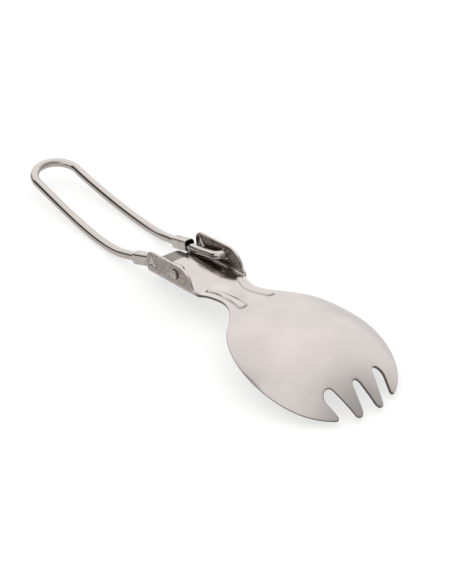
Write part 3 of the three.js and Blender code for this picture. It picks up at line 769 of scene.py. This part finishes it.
    def closed_loops(self):
        """The sheet's outer edge and its two pivot holes in x and s, with the sheet on the left of each."""
        left = self.channel_outline()
        left += self.bowl_outline(left[-1])
        left += self.tine_outline(left[-1])
        right = [Vector((p.x, -p.y)) for p in reversed(left[:-1])]
        loops = [list(reversed(left + right))]
        pivot = self.sizes.pivot_height + self.flange_offset
        for side in (1, -1):
            loops.append(arc(0, side * pivot, self.sizes.hole_radius, 2 * math.pi, 0, steps=40)[:-1])
        return [np.array([tuple(p) for p in loop]) for loop in loops]

    def grid(self):
        """Places inside the sheet: close on the folds, beads and bumps, wider on the bowl."""
        sizes = self.sizes
        rear = -sizes.flange_rear - sizes.lip_reach
        foot = sizes.flange_front - sizes.nose_length / 2
        channel = np.concatenate([
            np.arange(0, self.floor_half, EDGE_STEP),
            np.linspace(self.floor_half, self.fold_end, FOLD_ROWS),
            np.arange(self.fold_end + FLANGE_MARGIN, self.flange_top, EDGE_STEP),
        ])
        neck = np.concatenate([
            np.arange(0, self.floor_half, BEAD_STEP),
            np.arange(self.floor_half, sizes.shoulder_width / 2, NECK_SIDE_STEP),
        ])
        bowl = np.arange(0, sizes.bowl_width / 2, BOWL_STEP)
        zones = [
            (np.arange(rear, foot, EDGE_STEP), channel),
            (np.arange(foot, self.flat_x, NOSE_STEP), channel),
            (np.arange(self.flat_x, self.shoulder_x, NECK_STEP), neck),
            (np.arange(self.shoulder_x, self.tip_x, BOWL_STEP), bowl),
        ]
        bump_x = np.arange(0, sizes.bump_length, BUMP_STEP) + sizes.bump_setback - sizes.flange_rear
        bump_s = np.arange(-BUMP_MARGIN, sizes.bump_height, BUMP_STEP) + sizes.bump_ledge + self.flange_offset
        half = [
            (x, s) for rows, columns in zones for x in rows for s in columns
            if not (bump_x[0] < x < bump_x[-1] and bump_s[0] < s < bump_s[-1])
        ]
        half += [(x, s) for x in bump_x for s in bump_s]
        return np.array(half + [(x, -s) for x, s in half if s > 0])


def drawn_in(loop, distance):
    """A closed loop moved to its left, square to its edges, with sharp corners limited."""
    before, after = loop - np.roll(loop, 1, axis=0), np.roll(loop, -1, axis=0) - loop
    before /= np.linalg.norm(before, axis=1, keepdims=True)
    after /= np.linalg.norm(after, axis=1, keepdims=True)
    middle = before + after
    middle /= np.linalg.norm(middle, axis=1, keepdims=True)
    lean = np.maximum((middle * after).sum(axis=1, keepdims=True), MITRE_LIMIT)
    left = np.stack([-middle[:, 1], middle[:, 0]], axis=1)
    return loop + left * distance / lean


def inside(points, loops):
    """Which points lie within the outer loop and outside the holes."""
    count = np.zeros(len(points), int)
    for loop in loops:
        for (x0, y0), (x1, y1) in zip(loop, np.roll(loop, -1, axis=0)):
            spans = (y0 > points[:, 1]) != (y1 > points[:, 1])
            if y0 != y1:
                count += spans & (points[:, 0] < (x1 - x0) * (points[:, 1] - y0) / (y1 - y0) + x0)
    return count % 2 == 1


def clear_of(points, loops, distance):
    """Which points lie further than a distance from every edge."""
    clear = np.ones(len(points), bool)
    for loop in loops:
        for start, end in zip(loop, np.roll(loop, -1, axis=0)):
            run = end - start
            share = np.clip(((points - start) @ run) / (run @ run), 0, 1)
            clear &= np.linalg.norm(points - start - share[:, None] * run, axis=1) > distance
    return clear


def cut_blank(form, loops):
    """Places and triangles of the flat blank inside its loops, and which place each loop's point became."""
    places = form.grid()
    places = places[inside(places, loops)]
    places = places[clear_of(places, loops, RIM_MARGIN)]
    links, start = [], 0
    for loop in loops:
        links += [(start + k, start + (k + 1) % len(loop)) for k in range(len(loop))]
        start += len(loop)
    blank = [Vector(p) for p in np.concatenate(loops + [places]) / MM]
    flat, _, triangles, origins, _, _ = delaunay_2d_cdt(
        blank, links, [], EVERY_TRIANGLE, MERGE_LIMIT_MM, True
    )
    flat = np.array([tuple(p) for p in flat]) * MM
    kept = inside(flat[np.array(triangles)].mean(axis=1), loops)
    triangles = [tuple(triangle) for triangle, keep in zip(triangles, kept) if keep]
    became = {origin: k for k, sources in enumerate(origins) for origin in sources}
    return flat, triangles, became


def stamped_mesh(form):
    """Points, faces and vertex values of the head: a sheet with rounded cut edges."""
    sizes = form.sizes
    edges = form.closed_loops()
    flat, triangles, became = cut_blank(form, [drawn_in(loop, sizes.edge_round) for loop in edges])
    top = [form.point(x, s) for x, s in flat]
    up = [form.normal(x, s) for x, s in flat]
    marks = [form.marks(x, s, p.z) for (x, s), p in zip(flat, top)] * 2
    count = len(top)
    points = top + [p - n * sizes.thickness for p, n in zip(top, up)]
    faces = triangles + [tuple(count + k for k in reversed(triangle)) for triangle in triangles]

    # Round of the cut edge: an arc from the top, the edge's face, and an arc to the underside
    turns = [math.radians(turn) for turn in ROUND_TURNS]
    steps = [(turn, False) for turn in turns] + [(turn, True) for turn in reversed(turns)]
    start = 0
    for edge in edges:
        rings = []
        for k, (x, s) in enumerate(edge):
            first = became[start + k]
            corner = form.point(x, s)
            inward = top[first] - corner
            ring = [first]
            for turn, is_lower in steps:
                dip = sizes.edge_round * (1 - math.cos(turn))
                depth = sizes.thickness - dip if is_lower else dip
                ring.append(len(points))
                points.append(corner + inward * (1 - math.sin(turn)) - up[first] * depth)
                # Painted dark reflection: the sheared edges of the neck, bowl and tines are darkened
                marks.append((0, 1, 1, EDGE_SHADE * smooth_step(x, sizes.flange_front, form.flat_x)))
            rings.append(ring + [count + first])
        for a, b in zip(rings, rings[1:] + rings[:1]):
            faces += [(a[k], b[k], b[k + 1], a[k + 1]) for k in range(len(a) - 1)]
        start += len(edge)
    return [form.place @ p for p in points], faces, dict(zip(SHEET_MARKS, zip(*marks)))


class SPORK_OT_stamp_head(bpy.types.Operator):
    """Stamps the head: channel, neck with its beads, bowl and tines in one sheet"""

    bl_idname = "spork.stamp_head"
    bl_label = "Stamp the Head"

    def execute(self, context):
        points, faces, values = stamped_mesh(StampedForm(context.scene.spork_head))
        head = new_piece("stamped_head", points, faces, tumbled_stainless_sheet(context.scene.spork_finish))
        for name, numbers in values.items():
            head.data.attributes.new(name, "FLOAT", "POINT").data.foreach_set("value", numbers)
        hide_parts("spork_head")
        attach(head, "head")
        return {"FINISHED"}


# Wire handle


def leg_line(sizes, side):
    """Centre line of one leg, from its pin's end to the middle of the loop, in the handle's own frame."""
    slope = math.tan(sizes.splay_angle)
    bend = sizes.bar_bend
    line = [Vector((0, sizes.pin_end - share * sizes.peen_length, 0)) for share, _ in PEENED_END]
    line += [p.to_3d() for p in arc(-bend, sizes.bar_offset + bend, bend, 0, -math.pi / 2, steps=10)]
    turn = Vector((-sizes.splay_start, sizes.bar_offset, 0))
    start = Vector((sizes.splay_bend - sizes.splay_start, sizes.bar_offset, 0))
    end = turn + Vector((-sizes.splay_bend, sizes.splay_bend * slope, 0))
    line += straight(line[-1], start, BAR_STEP)
    # Pulls of two thirds of the way to the turn make a parabola
    line += bezier(start, start.lerp(turn, 2 / 3), end.lerp(turn, 2 / 3), end, steps=6)
    leg = turn + Vector((-math.cos(sizes.splay_angle), math.sin(sizes.splay_angle), 0)) * sizes.leg_length
    line += straight(end, leg, LEG_STEP)
    run, climb = math.cos(sizes.loop_angle), math.sin(sizes.loop_angle)
    loop = Vector((leg.x - sizes.curve_length, sizes.loop_spacing / 2, sizes.curve_rise))
    line += bezier(
        leg, leg + Vector((-1, slope, 0)) * sizes.curve_start_pull,
        loop + Vector((run, 0, -climb)) * sizes.curve_end_pull, loop, steps=44,
    )
    for k in range(1, LOOP_STEPS + 1):
        turned = math.pi / 2 * k / LOOP_STEPS
        reach = sizes.loop_length * math.sin(turned)
        line.append(Vector((loop.x - reach * run, loop.y * math.cos(turned), loop.z + reach * climb)))
    return [Vector((p.x, side * p.y, p.z)) for p in line]


def wire_mesh(sizes):
    """Points and faces of the wire, each point's place along and across it, and which points are peened."""
    line = leg_line(sizes, 1) + leg_line(sizes, -1)[-2::-1]
    place = Matrix.Translation(PIVOT) @ Matrix.Rotation(-sizes.pitch, 4, "Y")
    last = len(line) - 1
    radius = sizes.diameter / 2
    points, rod, peened, faces = [], [], [], []
    normal, travelled = Vector((0, 0, 1)), 0
    for i, centre in enumerate(line):
        tangent = (line[min(i + 1, last)] - line[max(i - 1, 0)]).normalized()
        normal = (normal - tangent * normal.dot(tangent)).normalized()
        travelled += (centre - line[max(i - 1, 0)]).length
        from_end = min(i, last - i)
        is_peened = from_end < len(PEENED_END)
        ring_radius = sizes.peen_radius * PEENED_END[from_end][1] if is_peened else radius
        for k in range(WIRE_SIDES):
            turn = 2 * math.pi * k / WIRE_SIDES
            spoke = normal * math.cos(turn) + tangent.cross(normal) * math.sin(turn)
            points.append(place @ (centre + spoke * ring_radius))
            rod += [travelled, radius * math.cos(turn), radius * math.sin(turn)]
            peened.append(float(is_peened))
    for i in range(last):
        for k in range(WIRE_SIDES):
            a, b = i * WIRE_SIDES + k, i * WIRE_SIDES + (k + 1) % WIRE_SIDES
            faces.append((a, b, b + WIRE_SIDES, a + WIRE_SIDES))
    faces += [tuple(range(WIRE_SIDES)), tuple(range(last * WIRE_SIDES, len(points)))]
    return points, faces, rod, peened


class SPORK_OT_bend_wire(bpy.types.Operator):
    """Bends the wire handle, whose turned-out ends are the hinge pins"""

    bl_idname = "spork.bend_wire"
    bl_label = "Bend the Wire Handle"

    def execute(self, context):
        points, faces, rod, peened = wire_mesh(context.scene.spork_wire)
        wire = new_piece("bent_wire_handle", points, faces, drawn_stainless_wire(context.scene.spork_finish))
        wire.data.attributes.new("rod", "FLOAT_VECTOR", "POINT").data.foreach_set("vector", rod)
        wire.data.attributes.new("peened", "FLOAT", "POINT").data.foreach_set("value", peened)
        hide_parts("wire_handle")
        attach(wire, "handle")
        return {"FINISHED"}


# Lock sleeves


def sleeve_section(sizes):
    """Section of a sleeve: a strip folded to a round-cornered square, its seam underneath."""
    def wrap(inset):
        half_width, half_height = sizes.width / 2 - inset, sizes.height / 2 - inset
        radius = max(sizes.corner - inset, INNER_CORNER)
        x, z = half_width - radius, half_height - radius
        path = [Vector((sizes.seam / 2, -half_height))]
        for centre_x, centre_z, start in ((x, -z, -90), (x, z, 0), (-x, z, 90), (-x, -z, 180)):
            path += arc(centre_x, centre_z, radius, math.radians(start), math.radians(start + 90), steps=8)
        return path + [Vector((-sizes.seam / 2, -half_height))]

    return wrap(0) + wrap(sizes.wall)[::-1]


class SPORK_OT_fold_sleeves(bpy.types.Operator):
    """Folds the two lock sleeves round the legs of the wire"""

    bl_idname = "spork.fold_sleeves"
    bl_label = "Fold the Lock Sleeves"

    def execute(self, context):
        sizes = context.scene.spork_sleeves
        material = folded_stainless_strip(context.scene.spork_finish)
        up = Matrix.Rotation(-context.scene.spork_wire.pitch, 3, "Y") @ Vector((0, 0, 1))
        section = sleeve_section(sizes)
        count = len(section)
        for side in ("left", "right"):
            low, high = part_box(f"{side}_lock_sleeve")
            along = Vector(JOINTS[f"{side}_sleeve_slide"]["axis"]).normalized()
            across = up.cross(along)
            tipped = Matrix.Rotation(sizes.tip, 3, across)
            along, rise = tipped @ along, tipped @ up
            points = []
            for end in (-1, 1):
                middle = (low + high) / 2 + along * (end * sizes.length / 2)
                points += [middle + across * p.x + rise * p.y for p in section]
            faces = [(k, (k + 1) % count, count + (k + 1) % count, count + k) for k in range(count)]
            faces += [tuple(range(count)), tuple(range(2 * count - 1, count - 1, -1))]
            sleeve = new_piece(f"folded_{side}_sleeve", points, faces, material)
            bevel = sleeve.modifiers.new("cut_edges", "BEVEL")
            bevel.width = sizes.edge_round
            bevel.segments = 2
            bevel.angle_limit = BEVEL_ANGLE
            sleeve.modifiers.new("even_faces", "WEIGHTED_NORMAL")
            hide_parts(f"{side}_lock_sleeve")
            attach(sleeve, f"{side}_sleeve")
        return {"FINISHED"}


# Stage


def face_towards(placed, aim):
    """Turns a lamp or camera to a point."""
    placed.rotation_euler = (aim - placed.location).to_track_quat("-Z", "Y").to_euler()


def light_tent(stage):
    """White tent, brightest over the handle and dimmer over the tines. The paper sweeps up without a break,
    but at the near left a dark gap shows between the floor and the tent's hem."""
    world = bpy.data.worlds.new("light_tent")
    node = emptied_tree(world)
    way = node("ShaderNodeTexCoord").outputs["Generated"]
    rise = node("ShaderNodeSeparateXYZ", (way,)).outputs["Z"]
    flat_way = node("ShaderNodeVectorMath", (way, (1, 1, 0)), operation="MULTIPLY")
    compass = node("ShaderNodeVectorMath", (flat_way,), operation="NORMALIZE")
    flap, gap, front = (
        node("ShaderNodeVectorMath", (seen, (math.cos(turn), math.sin(turn), 0)), operation="DOT_PRODUCT")
        for seen, turn in ((compass, stage.flap_turn), (way, stage.gap_turn), (way, stage.dim_turn))
    )
    smooth = {"interpolation_type": "SMOOTHSTEP"}
    lift = node(
        "ShaderNodeMapRange",
        (flap, math.cos(stage.flap_end), math.cos(stage.flap_full), 0, stage.flap_lift), **smooth,
    )
    height = node("ShaderNodeMath", (rise, lift), operation="SUBTRACT")
    sweep = node(
        "ShaderNodeMapRange",
        (gap, math.cos(stage.gap_end), math.cos(stage.gap_full), 1, stage.dark_level), **smooth,
    )
    hem = node(
        "ShaderNodeMapRange", (height, math.sin(stage.hem_low), math.sin(stage.hem_high), sweep, 1), **smooth
    )
    level = node(
        "ShaderNodeMapRange",
        (front, stage.dim_start, stage.dim_end, stage.rear_level, stage.front_level), **smooth,
    )
    strength = node("ShaderNodeMath", (hem, level), operation="MULTIPLY")
    node("ShaderNodeOutputWorld", {"Surface": node("ShaderNodeBackground", {"Strength": strength})})
    return world


class SPORK_OT_set_stage(bpy.types.Operator):
    """Sets the white floor, the soft light and the camera"""

    bl_idname = "spork.set_stage"
    bl_label = "Set the Stage"

    def execute(self, context):
        scene, stage = context.scene, context.scene.spork_stage
        corners = [(x * FLOOR_HALF, y * FLOOR_HALF, 0) for x, y in ((-1, -1), (1, -1), (1, 1), (-1, 1))]
        floor = new_piece("white_floor", corners, [(0, 1, 2, 3)], white_studio_paper(scene.spork_finish))
        floor.location.z = -FLOOR_GAP

        aim = Vector(stage.aim)
        scene.world = light_tent(stage)
        lamp = bpy.data.lights.new("top_softbox", "AREA")
        lamp.size = SOFTBOX_SIZE
        lamp.energy = stage.top_power
        softbox = new_object("top_softbox", lamp)
        softbox.location = SOFTBOX_PLACE
        face_towards(softbox, aim)

        lens = bpy.data.cameras.new("photo_camera")
        lens.sensor_fit = "HORIZONTAL"
        lens.sensor_width = SENSOR_WIDTH
        lens.lens = stage.lens
        camera = new_object("photo_camera", lens)
        level = math.cos(stage.elevation)
        rise = math.sin(stage.elevation)
        back = Vector((math.sin(stage.azimuth) * level, -math.cos(stage.azimuth) * level, rise))
        camera.location = aim + back * stage.distance
        face_towards(camera, aim)
        scene.camera = camera
        scene.view_settings.view_transform = "Standard"
        return {"FINISHED"}


class SPORK_PT_sidebar(bpy.types.Panel):
    """Lists the steps, sizes and colours"""

    bl_idname = "SPORK_PT_sidebar"
    bl_label = "Folding Spork"
    bl_space_type = "VIEW_3D"
    bl_region_type = "UI"
    bl_category = "Spork"

    def draw(self, context):
        for operator in OPERATORS:
            self.layout.operator(operator.bl_idname)
        for name, group in GROUPS.items():
            box = self.layout.box()
            box.label(text=group.__doc__)
            for identifier in group.__annotations__:
                box.prop(getattr(context.scene, name), identifier)


OPERATORS = (SPORK_OT_stamp_head, SPORK_OT_bend_wire, SPORK_OT_fold_sleeves, SPORK_OT_set_stage)
GROUPS = {
    "spork_head": SporkHeadSizes,
    "spork_wire": SporkWireSizes,
    "spork_sleeves": SporkSleeveSizes,
    "spork_finish": SporkFinish,
    "spork_stage": SporkStage,
}
CLASSES = (*GROUPS.values(), *OPERATORS, SPORK_PT_sidebar)
register_classes, unregister_classes = bpy.utils.register_classes_factory(CLASSES)


def register():
    """Registers the classes, and gives each scene its sizes, colours and stage."""
    register_classes()
    for name, group in GROUPS.items():
        setattr(bpy.types.Scene, name, PointerProperty(type=group))


def unregister():
    """Takes away what register gave."""
    for name in GROUPS:
        delattr(bpy.types.Scene, name)
    unregister_classes()


def main():
    register()
    bpy.ops.spork.stamp_head()
    bpy.ops.spork.bend_wire()
    bpy.ops.spork.fold_sleeves()
    bpy.ops.spork.set_stage()


if __name__ == "__main__":
    main()
